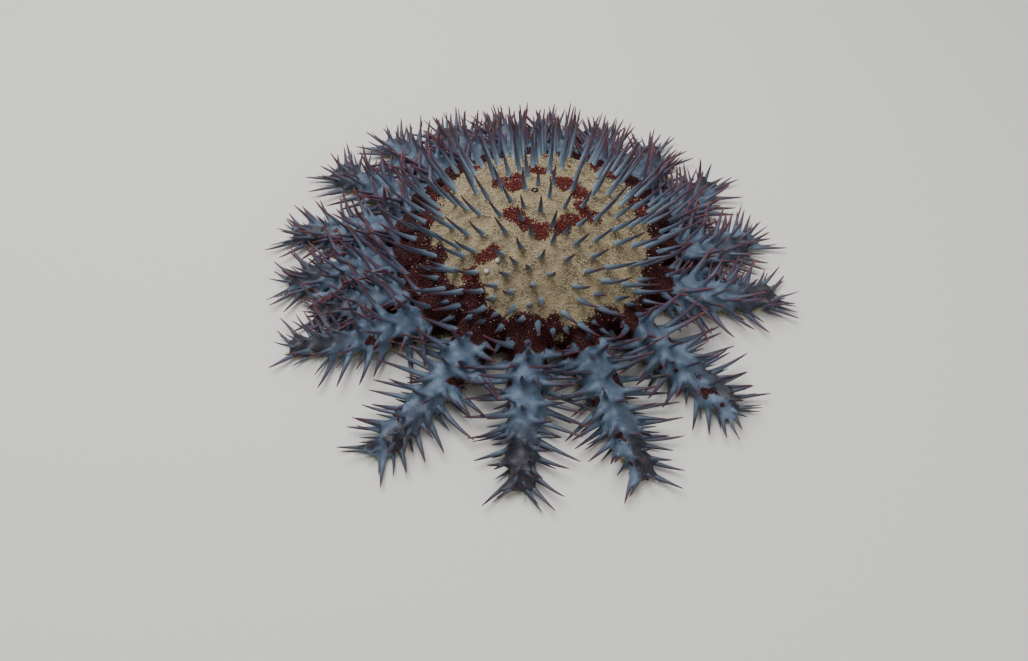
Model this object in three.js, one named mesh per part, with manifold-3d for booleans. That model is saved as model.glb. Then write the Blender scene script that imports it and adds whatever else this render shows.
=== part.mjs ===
// A crown-of-thorns starfish at life size, about 39 cm across its thorns, humped over the floor as it
// feeds. A domed disc carries eighteen arms that spread from its rim and lie flat on their soles. Disc
// and arms are covered in long, tapered thorns, and the underside has a toothed mouth ring and a tube-
// foot groove under every arm. Lengths are in millimetres, +Z is up, and the floor is z = 0.
import * as THREE from 'three';
import { mergeVertices } from 'three/addons/utils/BufferGeometryUtils.js';
import Module from 'manifold-3d';

const wasm = await Module();
wasm.setup();

// Driving sizes
const DISC_CENTRE = new THREE.Vector2(7.4, 14.6); // it puts the whole outline's centre over the origin
const DISC_RADIUS = 88;
const RIM_HEIGHT = 27;
const DOME_RISE = 39;
const DISC_UNDERSIDE = 5;
const DOME_SPHERE = (DISC_RADIUS ** 2 + DOME_RISE ** 2) / (2 * DOME_RISE);
const GAP = 0.3;
const DISC_SIDES = 36;

const ARM_ROOT_WIDTH = 22;
const ARM_TIP_WIDTH = 10;
const ARM_ROOT_HEIGHT = 26;
const ARM_TIP_HEIGHT = 8;
const ARM_ROOT_INSET = 8; // how far an arm starts inside the rim before it is trimmed to it

const MOUTH_RADIUS = 17;
const MOUTH_DEPTH = 9;
const MOUTH_TEETH = 18;

const THORN_SIDES = 5;
const THORN_SINK = 3.6;
const THORN_ROOT_RADIUS = 2.4;
const THORN_CLEARANCE = 0.45;
const THORN_LOWEST = 1.8;
const DISC_THORNS = 134;

// Each arm: the bearing of its root and of its tip, in degrees from +X, and how far its tip lies from
// the disc's centre
const ARMS = [
  [266, 266, 190],
  [289, 289, 192],
  [312, 313, 184],
  [336, 348, 170],
  [356, 368, 160],
  [375, 392, 157],
  [394, 414, 156],
  [413, 433, 153],
  [432, 449, 154],
  [451, 464, 157],
  [470, 478, 164],
  [490, 492, 178],
  [510, 508, 184],
  [529, 531, 180],
  [547, 547, 176],
  [564, 558, 160],
  [582, 566, 184],
  [604, 598, 194],
].map(([root, tip, reach]) => ({ root, tip, reach }));

// A repeatable number from 0 to 1 for three whole numbers
function chance(a, b, c) {
  const x = Math.sin(12.9898 * a + 78.233 * b + 37.719 * c) * 43758.5453;
  return x - Math.floor(x);
}

// The same from -1 to 1
function sway(a, b, c) {
  return 2 * chance(a, b, c) - 1;
}

function mix(from, to, share) {
  return from + (to - from) * share;
}

function polar(radius, degrees, height = 0) {
  const angle = THREE.MathUtils.degToRad(degrees);
  return new THREE.Vector3(radius * Math.cos(angle), radius * Math.sin(angle), height);
}

// Solids

function toSolid(geometry) {
  const bare = geometry.index ? geometry.toNonIndexed() : geometry.clone();
  const points = new THREE.BufferGeometry().setAttribute('position', bare.getAttribute('position'));
  const merged = mergeVertices(points, 1e-4);
  const corners = merged.index.array;
  const kept = [];
  for (let i = 0; i < corners.length; i += 3) {
    const [a, b, c] = [corners[i], corners[i + 1], corners[i + 2]];
    if (a !== b && b !== c && c !== a) kept.push(a, b, c);
  }
  return new wasm.Manifold(
    new wasm.Mesh({
      numProp: 3,
      vertProperties: merged.attributes.position.array,
      triVerts: new Uint32Array(kept),
    }),
  );
}

function toGeometry(solid) {
  const mesh = solid.getMesh();
  return new THREE.BufferGeometry()
    .setAttribute('position', new THREE.BufferAttribute(mesh.vertProperties, 3))
    .setIndex(new THREE.BufferAttribute(mesh.triVerts, 1));
}

// The body of a solid that has the most volume, with no loose scrap and no sealed hollow
function largestBody(solid) {
  const bodies = solid.decompose();
  return bodies.reduce((best, body) => (body.volume() > best.volume() ? body : best));
}

// A closed skin over rings of equal length, each turning anticlockwise as seen from the next, with a fan
// over each end
function loft(rings) {
  const points = rings.flat();
  const sides = rings[0].length;
  const faces = [];
  for (let ring = 0; ring + 1 < rings.length; ring++) {
    for (let side = 0; side < sides; side++) {
      const next = (side + 1) % sides;
      const [a, b] = [ring * sides + side, ring * sides + next];
      faces.push(a, b, b + sides, a, b + sides, a + sides);
    }
  }
  const last = (rings.length - 1) * sides;
  for (const [start, flip] of [[0, true], [last, false]]) {
    const middle = new THREE.Vector3();
    for (let side = 0; side < sides; side++) middle.addScaledVector(points[start + side], 1 / sides);
    const centre = points.push(middle) - 1;
    for (let side = 0; side < sides; side++) {
      const [a, b] = [start + side, start + (side + 1) % sides];
      faces.push(...(flip ? [b, a, centre] : [a, b, centre]));
    }
  }
  return new THREE.BufferGeometry().setFromPoints(points).setIndex(faces);
}

// The disc: a cap of a sphere on a short upright rim

function domeHeight(radius) {
  return RIM_HEIGHT + Math.sqrt(DOME_SPHERE ** 2 - radius ** 2) - (DOME_SPHERE - DOME_RISE);
}

function domePoint(radius, degrees) {
  return polar(radius, degrees, domeHeight(radius));
}

function domeNormal(radius, degrees) {
  return polar(radius, degrees, Math.sqrt(DOME_SPHERE ** 2 - radius ** 2)).normalize();
}

function discBody() {
  const profile = [
    [0, DISC_UNDERSIDE + MOUTH_DEPTH],
    [MOUTH_RADIUS - 1, DISC_UNDERSIDE + MOUTH_DEPTH],
    [MOUTH_RADIUS, DISC_UNDERSIDE],
    [0.94 * DISC_RADIUS, DISC_UNDERSIDE],
    [DISC_RADIUS, DISC_UNDERSIDE + 4],
    [DISC_RADIUS, RIM_HEIGHT - 2],
    [0.985 * DISC_RADIUS, domeHeight(0.985 * DISC_RADIUS)],
    ...[0.9, 0.78, 0.63, 0.46, 0.28, 0.13, 0].map((share) => [
      share * DISC_RADIUS,
      domeHeight(share * DISC_RADIUS),
    ]),
  ].map(([x, z]) => new THREE.Vector2(x, z));
  const turned = new THREE.LatheGeometry(profile, DISC_SIDES).rotateX(Math.PI / 2);
  return toSolid(turned);
}

// The arms

const armPath = ARMS.map(({ root, tip, reach }) => {
  const middle = (DISC_RADIUS + reach) / 2;
  return new THREE.QuadraticBezierCurve3(
    polar(DISC_RADIUS - ARM_ROOT_INSET, root),
    polar(middle, mix(root, tip, 0.3)),
    polar(reach, tip),
  );
});

function armWidth(share) {
  const taper = mix(ARM_ROOT_WIDTH, ARM_TIP_WIDTH, share ** 0.9);
  return taper * Math.sqrt(1 - (Math.max(share - 0.86, 0) / 0.17) ** 2);
}

function armHeight(share) {
  const slope = ARM_TIP_HEIGHT + (ARM_ROOT_HEIGHT - ARM_TIP_HEIGHT) * (1 - share) ** 1.3;
  return slope * Math.sqrt(1 - (Math.max(share - 0.86, 0) / 0.2) ** 2);
}

// The axes of an arm at a share of its length: along it, to its left, and the point below it on the floor
function armAxes(arm, share) {
  const along = armPath[arm].getTangent(share);
  return { origin: armPath[arm].getPoint(share), along, left: new THREE.Vector3(-along.y, along.x, 0) };
}

// A point of an arm's outer surface. Round is 0 on its right side, 90 on its crown and 180 on its left
// side; below 0 and above 180 it runs down to the sole.
function armPoint(arm, share, round) {
  const { origin, left } = armAxes(arm, share);
  const [half, height] = [armWidth(share) / 2, armHeight(share)];
  const angle = THREE.MathUtils.degToRad(THREE.MathUtils.clamp(round, 0, 180));
  const below = Math.max(-round, round - 180, 0) / 45;
  const across = -Math.sign(Math.cos(angle)) * Math.abs(Math.cos(angle)) ** 0.8 * half * (1 - 0.38 * below);
  const up = height * (0.3 * (1 - below) + 0.7 * Math.sin(angle) ** 0.85);
  return origin.clone().addScaledVector(left, across).setZ(up);
}

function armNormal(arm, share, round) {
  const step = 2;
  const around = armPoint(arm, share, round + step).sub(armPoint(arm, share, round - step));
  const onward = armPoint(arm, Math.min(share + 0.02, 0.98), round).sub(armPoint(arm, share - 0.02, round));
  return onward.cross(around).normalize();
}

// The section of an arm: its crown, its flanks, its two soles and the groove between them, as shares of
// half the width and of the height, from the groove round by the left side
const SECTION = [
  [0, 0.24],
  [0.2, 0],
  [0.62, 0],
  [1, 0.3],
  [0.86, 0.68],
  [0.42, 0.96],
  [-0.42, 0.96],
  [-0.86, 0.68],
  [-1, 0.3],
  [-0.62, 0],
  [-0.2, 0],
];
const ARM_STATIONS = [0, 0.2, 0.42, 0.65, 0.86, 0.97, 1];

function armBody(arm) {
  const rings = ARM_STATIONS.map((share) => {
    const { origin, left } = armAxes(arm, share);
    const [half, height] = [armWidth(share) / 2, armHeight(share)];
    return SECTION.map(([x, z]) => origin.clone().addScaledVector(left, x * half).setZ(z * height));
  });
  return toSolid(loft(rings));
}

// Everything inside the rim, grown by the gap, with the disc's own sides so that the faces lie parallel
const rimCutter = toSolid(
  new THREE.CylinderGeometry(
    DISC_RADIUS + GAP / Math.cos(Math.PI / DISC_SIDES),
    DISC_RADIUS + GAP / Math.cos(Math.PI / DISC_SIDES),
    2 * RIM_HEIGHT + 2,
    DISC_SIDES,
  ).rotateX(Math.PI / 2),
);

// The thorns

// A thorn is a straight taper from its root, sunk in the flesh, to its point.
function thornSolid({ root, tip, aim, scale }) {
  const side = new THREE.Vector3(0, 0, 1).cross(aim);
  if (side.length() < 0.1) side.set(1, 0, 0);
  side.normalize();
  const other = aim.clone().cross(side);
  const radius = scale * THORN_ROOT_RADIUS;
  const sink = Math.min(THORN_SINK, (root.z - radius - 0.4) / Math.max(aim.z, 0.05));
  const sunk = root.clone().addScaledVector(aim, -sink);
  const foot = Array.from({ length: THORN_SIDES }, (_, k) => {
    const angle = (2 * Math.PI * k) / THORN_SIDES;
    return sunk
      .clone()
      .addScaledVector(side, radius * Math.cos(angle))
      .addScaledVector(other, radius * Math.sin(angle));
  });
  return toSolid(loft([foot, foot.map(() => tip)]));
}

const thorns = [];

// The least space between two tapered rods, each given by its ends and the radius at each end
function rodSpace(a, b, ra, rb, c, d, rc, rd) {
  const u = b.clone().sub(a);
  const v = d.clone().sub(c);
  const w = a.clone().sub(c);
  const [uu, uv, vv, uw, vw] = [u.dot(u), u.dot(v), v.dot(v), u.dot(w), v.dot(w)];
  const spread = uu * vv - uv * uv;
  let s = spread > 1e-9 ? THREE.MathUtils.clamp((uv * vw - vv * uw) / spread, 0, 1) : 0;
  const t = THREE.MathUtils.clamp((uv * s + vw) / vv, 0, 1);
  s = THREE.MathUtils.clamp((uv * t - uw) / uu, 0, 1);
  const apart = w.clone().addScaledVector(u, s).addScaledVector(v, -t).length();
  return apart - mix(ra, rb, s) - mix(rc, rd, t);
}

// Whether a thorn stays off every thorn that is placed, every other arm and the floor
function isClear(thorn) {
  if (thorn.tip.z < THORN_LOWEST) return false;
  for (const other of thorns) {
    if (thorn.root.distanceTo(other.root) > thorn.length + other.length) continue;
    const need = other.node === thorn.node ? 0.1 : THORN_CLEARANCE;
    const [ra, rc] = [thorn.scale * THORN_ROOT_RADIUS, other.scale * THORN_ROOT_RADIUS];
    if (rodSpace(thorn.root, thorn.tip, ra, 0, other.root, other.tip, rc, 0) < need) return false;
  }
  if (thorn.node !== 'disc' && touchesDisc(thorn)) return false;
  return !ARMS.some((_, arm) => arm !== thorn.node && touchesArm(thorn, arm));
}

function touchesDisc(thorn) {
  for (let step = 0; step <= 10; step++) {
    const point = thorn.root.clone().lerp(thorn.tip, step / 10);
    const radius = thorn.scale * THORN_ROOT_RADIUS * (1 - step / 10);
    const level = Math.hypot(point.x, point.y);
    const beside = level - radius > DISC_RADIUS + THORN_CLEARANCE;
    const above = point.z - radius > domeHeight(Math.min(level, DISC_RADIUS)) + THORN_CLEARANCE;
    if (!beside && !above) return true;
  }
  return false;
}

function touchesArm(thorn, arm) {
  for (let step = 2; step <= 10; step++) {
    const point = thorn.root.clone().lerp(thorn.tip, step / 10);
    for (let share = 0.05; share <= 1; share += 0.05) {
      const { origin } = armAxes(arm, share);
      const away = Math.hypot(point.x - origin.x, point.y - origin.y);
      if (away < armWidth(share) / 2 + 3 && point.z < armHeight(share) + 3) return true;
    }
  }
  return false;
}

// The turns tried in order, as degrees of lift and swing, and then the shares of the length
const TURNS = [
  [0, 0],
  [7, 0],
  [0, 9],
  [0, -9],
  [-7, 0],
  [14, 0],
  [8, 12],
  [8, -12],
  [22, 0],
  [0, 18],
  [0, -18],
  [18, 20],
  [18, -20],
  [32, 0],
  [30, 16],
];
const CUTS = [1, 0.88, 0.76, 0.64, 0.52];

function turned(aim, lift, swing) {
  const level = Math.hypot(aim.x, aim.y);
  const bearing = THREE.MathUtils.radToDeg(Math.atan2(aim.y, aim.x)) + swing;
  const rise = THREE.MathUtils.radToDeg(Math.atan2(aim.z, level)) + lift;
  return polar(Math.cos(THREE.MathUtils.degToRad(rise)), bearing, Math.sin(THREE.MathUtils.degToRad(rise)));
}

function placeThorn(node, root, aim, length, scale) {
  for (const cut of CUTS) {
    for (const [lift, swing] of TURNS) {
      const way = turned(aim, lift, swing);
      const tip = root.clone().addScaledVector(way, cut * length);
      const thorn = { node, root, tip, aim: way, scale, length: cut * length };
      if (isClear(thorn)) {
        thorns.push(thorn);
        return;
      }
    }
  }
}

// Thorns spread evenly over the dome on a sunflower spiral, shorter round the crown, each leaning outward
function placeDiscThorns() {
  const golden = 137.508;
  for (let k = 0; k < DISC_THORNS; k++) {
    const share = Math.sqrt((k + 0.6) / DISC_THORNS);
    const radius = 0.965 * DISC_RADIUS * share ** 0.93;
    const bearing = golden * k + 5 * sway(k, 1, 0);
    const lean = THREE.MathUtils.degToRad(mix(6, 17, share) + 6 * sway(k, 2, 0));
    const outward = polar(1, bearing + 9 * sway(k, 3, 0));
    const aim = domeNormal(radius, bearing)
      .multiplyScalar(Math.cos(lean))
      .addScaledVector(outward, Math.sin(lean));
    const length = mix(17, 38, share) * (1 + 0.14 * sway(k, 4, 0));
    placeThorn('disc', domePoint(radius, bearing), aim.normalize(), length, mix(0.82, 1, share));
  }
}

// The rows of thorns on an arm: where round the section, the first and last station, how many, the
// length near the root and near the tip, and the lean towards the tip in degrees
const ROWS = [
  { round: 90, first: 0.2, last: 0.88, count: 5, long: 27, short: 18, lean: 18 },
  { round: 52, first: 0.13, last: 0.82, count: 6, long: 34, short: 23, lean: 16 },
  { round: 128, first: 0.19, last: 0.87, count: 6, long: 34, short: 23, lean: 16 },
  { round: 11, first: 0.17, last: 0.93, count: 8, long: 41, short: 25, lean: 12 },
  { round: 169, first: 0.22, last: 0.97, count: 8, long: 41, short: 25, lean: 12 },
];

function placeArmThorns(arm) {
  ROWS.forEach((row, r) => {
    for (let k = 0; k < row.count; k++) {
      const along = k / (row.count - 1);
      const share = mix(row.first, row.last, along) + 0.025 * sway(arm, r, k);
      const round = row.round + 7 * sway(arm + 40, r, k);
      const lean = THREE.MathUtils.degToRad(row.lean + 26 * along ** 2 + 8 * sway(arm + 80, r, k));
      const aim = armNormal(arm, share, round)
        .multiplyScalar(Math.cos(lean))
        .addScaledVector(armAxes(arm, share).along, Math.sin(lean));
      aim.z = Math.max(aim.z, 0.08);
      const length = mix(row.long, row.short, along) * (1 + 0.12 * sway(arm + 120, r, k));
      placeThorn(arm, armPoint(arm, share, round), aim.normalize(), length, mix(1.04, 0.78, along));
    }
  });
}

// The thorns that fan out at the tip of an arm: the swing off its midline and the rise, in degrees
const TIP_FAN = [
  [-40, 14],
  [-18, 38],
  [0, 12],
  [20, 40],
  [42, 16],
];

function placeTipThorns(arm) {
  for (const [k, [swing, rise]] of TIP_FAN.entries()) {
    const { origin, along } = armAxes(arm, 0.97);
    const bearing = THREE.MathUtils.radToDeg(Math.atan2(along.y, along.x)) + swing + 6 * sway(arm, 7, k);
    const root = origin.clone().setZ(0.55 * armHeight(0.97));
    const up = Math.tan(THREE.MathUtils.degToRad(rise));
    placeThorn(arm, root, polar(1, bearing, up).normalize(), 20 * (1 + 0.15 * sway(arm, 8, k)), 0.72);
  }
}

// The underside of the disc: a groove from under each arm to the mouth, and a mouth ring with teeth

function grooveCutter({ root }) {
  const depth = 4;
  const half = 2.6;
  const section = [
    [0, depth],
    [-half, -1],
    [half, -1],
  ];
  const rings = [MOUTH_RADIUS - 3, DISC_RADIUS + 2].map((radius) => {
    const centre = polar(radius, root);
    const left = polar(1, root + 90);
    return section.map(([x, z]) => centre.clone().addScaledVector(left, x).setZ(DISC_UNDERSIDE + z));
  });
  return toSolid(loft(rings));
}

function mouthRing() {
  const outer = MOUTH_RADIUS - 1.4;
  const inner = 5;
  const top = DISC_UNDERSIDE + MOUTH_DEPTH - GAP;
  const low = DISC_UNDERSIDE + 1;
  const outline = new THREE.Shape();
  for (let k = 0; k < 2 * MOUTH_TEETH; k++) {
    const point = polar(k % 2 ? inner : 0.62 * outer, (180 * k) / MOUTH_TEETH);
    if (k === 0) outline.moveTo(point.x, point.y);
    else outline.lineTo(point.x, point.y);
  }
  outline.closePath();
  const opening = toSolid(new THREE.ExtrudeGeometry(outline, { depth: top, bevelEnabled: false }));
  const profile = [
    [0, low + 3.5],
    [0.5 * outer, low + 2.5],
    [0.8 * outer, low],
    [outer, low + 1.5],
    [outer, top],
    [0, top],
  ].map(([x, z]) => new THREE.Vector2(x, z));
  const ring = toSolid(new THREE.LatheGeometry(profile, DISC_SIDES).rotateX(Math.PI / 2));
  const back = toSolid(
    new THREE.CylinderGeometry(outer, outer, 2, DISC_SIDES).rotateX(Math.PI / 2).translate(0, 0, top - 1),
  );
  return ring.subtract(opening).add(back);
}

// Put together

placeDiscThorns();
ARMS.forEach((_, arm) => {
  placeTipThorns(arm);
  placeArmThorns(arm);
});

function withThorns(body, node) {
  const own = thorns.filter((thorn) => thorn.node === node).map(thornSolid);
  return wasm.Manifold.union([body, ...own]);
}

function skin(colour, roughness) {
  return new THREE.MeshStandardMaterial({ color: colour, roughness, metalness: 0 });
}

const materials = {
  disc: skin(0x9a8468, 0.62),
  arm: skin(0x55647a, 0.55),
  mouth: skin(0xb8a07c, 0.5),
};

const starfish = new THREE.Group();
starfish.position.set(DISC_CENTRE.x, DISC_CENTRE.y, 0);

function addNode(name, solid, material) {
  const mesh = new THREE.Mesh(toGeometry(solid), material);
  mesh.name = name;
  starfish.add(mesh);
}

const disc = ARMS.reduce((body, arm) => body.subtract(grooveCutter(arm)), discBody());
addNode('disc', largestBody(withThorns(disc, 'disc')), materials.disc);
addNode('mouth_ring', largestBody(mouthRing()), materials.mouth);
ARMS.forEach((_, arm) => {
  const solid = withThorns(armBody(arm), arm).subtract(rimCutter);
  addNode(`arm_${String(arm + 1).padStart(2, '0')}`, largestBody(solid), materials.arm);
});

const model = new THREE.Group();
model.add(starfish);

export default model;
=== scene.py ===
"""A crown-of-thorns starfish at life size, humped on the floor as it feeds.

One soft skin runs over the domed disc and the eighteen arms. Long thorns stand out of it, with beads of red papulae
and pale granules between them, and the underside has its tube feet, its combs of pegs and its mouth.
Lengths are in millimetres until a mesh is made, and the disc stands at DISC_CENTRE on the floor.
"""

import math

import bpy
import numpy as np
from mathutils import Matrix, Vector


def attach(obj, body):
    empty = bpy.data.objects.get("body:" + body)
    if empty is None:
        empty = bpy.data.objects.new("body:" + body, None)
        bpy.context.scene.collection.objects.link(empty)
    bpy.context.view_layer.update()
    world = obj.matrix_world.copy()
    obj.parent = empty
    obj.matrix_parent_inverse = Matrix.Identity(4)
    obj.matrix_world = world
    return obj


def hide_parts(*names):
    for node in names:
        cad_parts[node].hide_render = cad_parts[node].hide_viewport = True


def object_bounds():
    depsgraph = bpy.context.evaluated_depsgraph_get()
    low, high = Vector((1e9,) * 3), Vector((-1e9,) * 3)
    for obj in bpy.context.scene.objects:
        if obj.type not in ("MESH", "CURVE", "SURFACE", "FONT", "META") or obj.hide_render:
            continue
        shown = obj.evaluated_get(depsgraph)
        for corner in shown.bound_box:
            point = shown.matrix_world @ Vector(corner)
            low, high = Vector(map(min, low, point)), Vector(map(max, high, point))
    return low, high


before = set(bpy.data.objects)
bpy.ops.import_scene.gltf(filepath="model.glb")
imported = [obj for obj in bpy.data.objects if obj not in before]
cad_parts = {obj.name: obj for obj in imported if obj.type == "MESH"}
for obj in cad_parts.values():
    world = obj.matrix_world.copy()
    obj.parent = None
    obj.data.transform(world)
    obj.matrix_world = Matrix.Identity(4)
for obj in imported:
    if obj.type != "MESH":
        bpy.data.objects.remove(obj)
cad_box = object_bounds()

# The disc and the arms. They are one bag of soft skin, stiffened by small plates of lime. The disc is a cap of a sphere
# on a low upright rim, and the arms are half-round ridges that leave the rim at their own bearings, bend sideways as
# they reach out and lie flat on their soles.

MM = 0.001
DISC_CENTRE = np.array([7.4, 14.6, 0.0])
DISC_RADIUS = 88
RIM_HEIGHT = 27
DOME_RISE = 39
DISC_UNDERSIDE = 5
DOME_SPHERE = (DISC_RADIUS**2 + DOME_RISE**2) / (2 * DOME_RISE)
ARM_ROOT_WIDTH = 22
ARM_TIP_WIDTH = 10
ARM_ROOT_HEIGHT = 26
ARM_TIP_HEIGHT = 8
ARM_ROOT_INSET = 8
ARM_BEND = 0.3  # how much of its sideways turn the middle point of an arm's curve has made
TIP_FROM = 0.86  # the share of an arm from which its tip rounds in
WIDTH_CLOSES = 0.17  # how much further along the width would come to nothing, and the height below
HEIGHT_CLOSES = 0.2
FLANK_SHARE = 0.3  # the share of an arm's height at which it is widest
SOLE_INSET = 0.38  # the share of its half width by which it is drawn in from there down to the sole

# Each arm: the bearing of its root and of its tip, in degrees from +X, and how far its tip lies from the disc's centre
ARMS = [
    (266, 266, 190),
    (289, 289, 192),
    (312, 313, 184),
    (336, 348, 170),
    (356, 368, 160),
    (375, 392, 157),
    (394, 414, 156),
    (413, 433, 153),
    (432, 449, 154),
    (451, 464, 157),
    (470, 478, 164),
    (490, 492, 178),
    (510, 508, 184),
    (529, 531, 180),
    (547, 547, 176),
    (564, 558, 160),
    (582, 566, 184),
    (604, 598, 194),
]


def chance(a, b, c):
    """A repeatable number from 0 to 1 for three whole numbers: the fraction of a large multiple of a sine."""
    x = math.sin(12.9898 * a + 78.233 * b + 37.719 * c) * 43758.5453
    return x - math.floor(x)


def sway(a, b, c):
    """The same number from -1 to 1."""
    return 2 * chance(a, b, c) - 1


def mix(start, end, share):
    """The value a share of the way from start to end."""
    return start + (end - start) * share


def polar(radius, degrees, height=0.0):
    """A point or way from its radius, its bearing and its height."""
    angle = math.radians(degrees)
    return np.array([radius * math.cos(angle), radius * math.sin(angle), height])


def dome_height(radius):
    """Height of the dome: the sphere's height over its centre, less the part of the sphere below the rim."""
    return RIM_HEIGHT + np.sqrt(DOME_SPHERE**2 - radius**2) - (DOME_SPHERE - DOME_RISE)


def dome_point(radius, degrees):
    """The point of the dome at a radius and a bearing."""
    return polar(radius, degrees, dome_height(radius))


def dome_normal(radius, degrees):
    """The unit way out of the dome there: from the sphere's centre to the point, over the sphere's radius."""
    return polar(radius, degrees, math.sqrt(DOME_SPHERE**2 - radius**2)) / DOME_SPHERE


def arm_path(arm, share):
    """A point of an arm's midline on the floor, and the unit way along it: a quadratic curve through three points."""
    root, tip, reach = ARMS[arm]
    ends = (
        polar(DISC_RADIUS - ARM_ROOT_INSET, root),
        polar((DISC_RADIUS + reach) / 2, mix(root, tip, ARM_BEND)),
        polar(reach, tip),
    )
    s = np.asarray(share, float)[..., None]
    point = (1 - s) ** 2 * ends[0] + 2 * s * (1 - s) * ends[1] + s**2 * ends[2]
    along = (1 - s) * (ends[1] - ends[0]) + s * (ends[2] - ends[1])
    return point, along / np.linalg.norm(along, axis=-1, keepdims=True)


def arm_width(share):
    """The width falls a little unevenly from root to tip, and rounds in like an ellipse over the last part."""
    taper = mix(ARM_ROOT_WIDTH, ARM_TIP_WIDTH, np.power(share, 0.9))
    return taper * np.sqrt(np.maximum(1 - (np.maximum(share - TIP_FROM, 0) / WIDTH_CLOSES) ** 2, 0))


def arm_height(share):
    """The height falls fast and then slowly, and rounds in over the last part."""
    slope = ARM_TIP_HEIGHT + (ARM_ROOT_HEIGHT - ARM_TIP_HEIGHT) * np.power(1 - share, 1.3)
    return slope * np.sqrt(np.maximum(1 - (np.maximum(share - TIP_FROM, 0) / HEIGHT_CLOSES) ** 2, 0))


def arm_point(arm, share, around):
    """A point of an arm's surface: around is 0 on its right, 90 on its crown and 180 on its left, and past either end
    it goes straight down the flank. The section is an ellipse with its cosine and sine raised to a power below one,
    which makes it a little square."""
    origin, along = arm_path(arm, share)
    left = np.array([-along[1], along[0], 0.0])
    angle = math.radians(min(max(around, 0), 180))
    below = max(-around, around - 180, 0) / 45
    across = -math.copysign(abs(math.cos(angle)) ** 0.8, math.cos(angle)) * arm_width(share) / 2
    up = arm_height(share) * (FLANK_SHARE * (1 - below) + (1 - FLANK_SHARE) * math.sin(angle) ** 0.85)
    return origin + left * across * (1 - SOLE_INSET * below) + np.array([0, 0, up])


def arm_normal(arm, share, around):
    """The way out of an arm's surface: the cross product of a short step along it and a short step round it."""
    step = 2
    turn = arm_point(arm, share, around + step) - arm_point(arm, share, around - step)
    onward = arm_point(arm, min(share + 0.02, 0.98), around) - arm_point(arm, max(share - 0.02, 0.0), around)
    out = np.cross(onward, turn)
    return out / np.linalg.norm(out)


# Where the thorns stand. Each is a spine of lime on a small knob of its own under the skin. They are spread evenly over
# the disc and stand in rows along each arm, they lean outwards, and each one turns aside or is shorter where it would
# cross another. The stout ones come first and the finer ones then fill the room that is left.

THORN_ROOT_RADIUS = 2.4
THORN_CLEARANCE = 0.45  # between thorns of different arms
THORN_TOUCH = 0.1  # between thorns of one arm
THORN_LOWEST = 1.8
DISC_THORNS = 134
GOLDEN_ANGLE = 137.508
SPIRAL_REACH = 0.965  # the share of the disc's radius that its thorns cover
CENTRE_LEAN = 6  # how far the disc's thorns lean out at its centre and at its rim, in degrees
RIM_LEAN = 17
CENTRE_SCALE = 0.82  # how slim a thorn is at the disc's centre, against one at the rim
# What is tried for each thorn, in order: how far it is lifted and swung, in degrees, and the share of its length
TURNS = [(0, 0), (7, 0), (0, 9), (0, -9), (-7, 0), (14, 0), (8, 12), (8, -12), (22, 0), (0, 18), (0, -18), (18, 20)]
TURNS += [(18, -20), (32, 0), (30, 16)]
CUTS = [1, 0.88, 0.76, 0.64, 0.52]
# Rows: where round the arm, first and last share, how many, length near the root and near the tip, lean in degrees
ROWS = [
    (90, 0.2, 0.88, 5, 27, 18, 18),
    (52, 0.13, 0.82, 6, 34, 23, 16),
    (128, 0.19, 0.87, 6, 34, 23, 16),
    (11, 0.17, 0.93, 8, 41, 25, 12),
    (169, 0.22, 0.97, 8, 41, 25, 12),
]
LAST_LEAN = 26  # how much further the last thorn of a row leans, in degrees
FIRST_SCALE = 1.04  # how stout the first and the last thorn of a row are
LAST_SCALE = 0.78
STRAY_ALONG = 0.025  # how far a thorn strays from its even place along the arm and round it, and in its lean
STRAY_ROUND = 7
STRAY_LEAN = 8
LEAST_RISE = 0.08
# The fan at an arm's tip: how far each thorn swings off the arm's own way, and how far it rises, in degrees
FAN_SHARE = 0.97  # the share of the arm at which the fan's thorns meet
TIP_FAN = [(-40, 14), (-18, 38), (0, 12), (20, 40), (42, 16)]
# Between the main rows stand slender thorns, which are long and crowded on the arms at the sides and back
CROWDED_ARMS = range(4, 17)
CROWDED_ROWS = [
    (72, 0.02, 0.8, 7, 36, 22, 26),
    (108, 0.06, 0.84, 7, 36, 22, 26),
    (38, 0.0, 0.78, 7, 38, 24, 22),
    (142, 0.04, 0.82, 7, 38, 24, 22),
    (90, -0.06, 0.76, 6, 34, 22, 30),
]
# On the front arms they are stouter and further apart, with a few short ones over the root
FRONT_ROWS = [
    (92, 0.12, 0.2, 2, 19, 18, 30),
    (56, 0.11, 0.19, 2, 20, 18, 24),
    (126, 0.12, 0.2, 2, 20, 18, 24),
    (30, 0.05, 0.78, 5, 38, 27, 14),
    (150, 0.08, 0.8, 5, 38, 27, 14),
    (66, 0.22, 0.84, 4, 26, 21, 46),
    (114, 0.3, 0.9, 4, 26, 21, 46),
]
# Small thorns crowd the outer half of every arm, down to the edge of its sole and round its tip
SMALL_ROWS = [
    (70, 0.5, 0.96, 4, 20, 16, 20),
    (112, 0.55, 0.97, 4, 20, 16, 20),
    (28, 0.4, 0.97, 6, 24, 19, 16),
    (152, 0.46, 0.98, 6, 24, 19, 16),
    (-14, 0.4, 0.98, 6, 21, 16, 20),
    (194, 0.44, 0.99, 6, 21, 16, 20),
]
SMALL_TIP_FAN = [(-60, 10), (-42, 40), (-12, 12), (16, 60), (18, 18), (48, 42), (64, 12), (0, 80), (-26, 62), (-80, 30)]
SMALL_TIP_FAN += [(80, 34), (34, 66)]
DISC_SMALL_THORNS = 260
DISC_SMALL_APART = 8.5
# Short stout thorns crowd the dark red margin at the front: radius, height or None on the dome, first and last bearing
MARGIN_ROWS = [
    (74, None, 206, 322),
    (81, None, 206, 326),
    (86, None, 206, 328),
    (87.5, 22, 206, 330),
    (87.5, 15, 206, 330),
]
MARGIN_STEP = 4.6
MARGIN_APART = 8.2
MARGIN_LENGTH = 16
MARGIN_SCALE = 0.95

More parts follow.
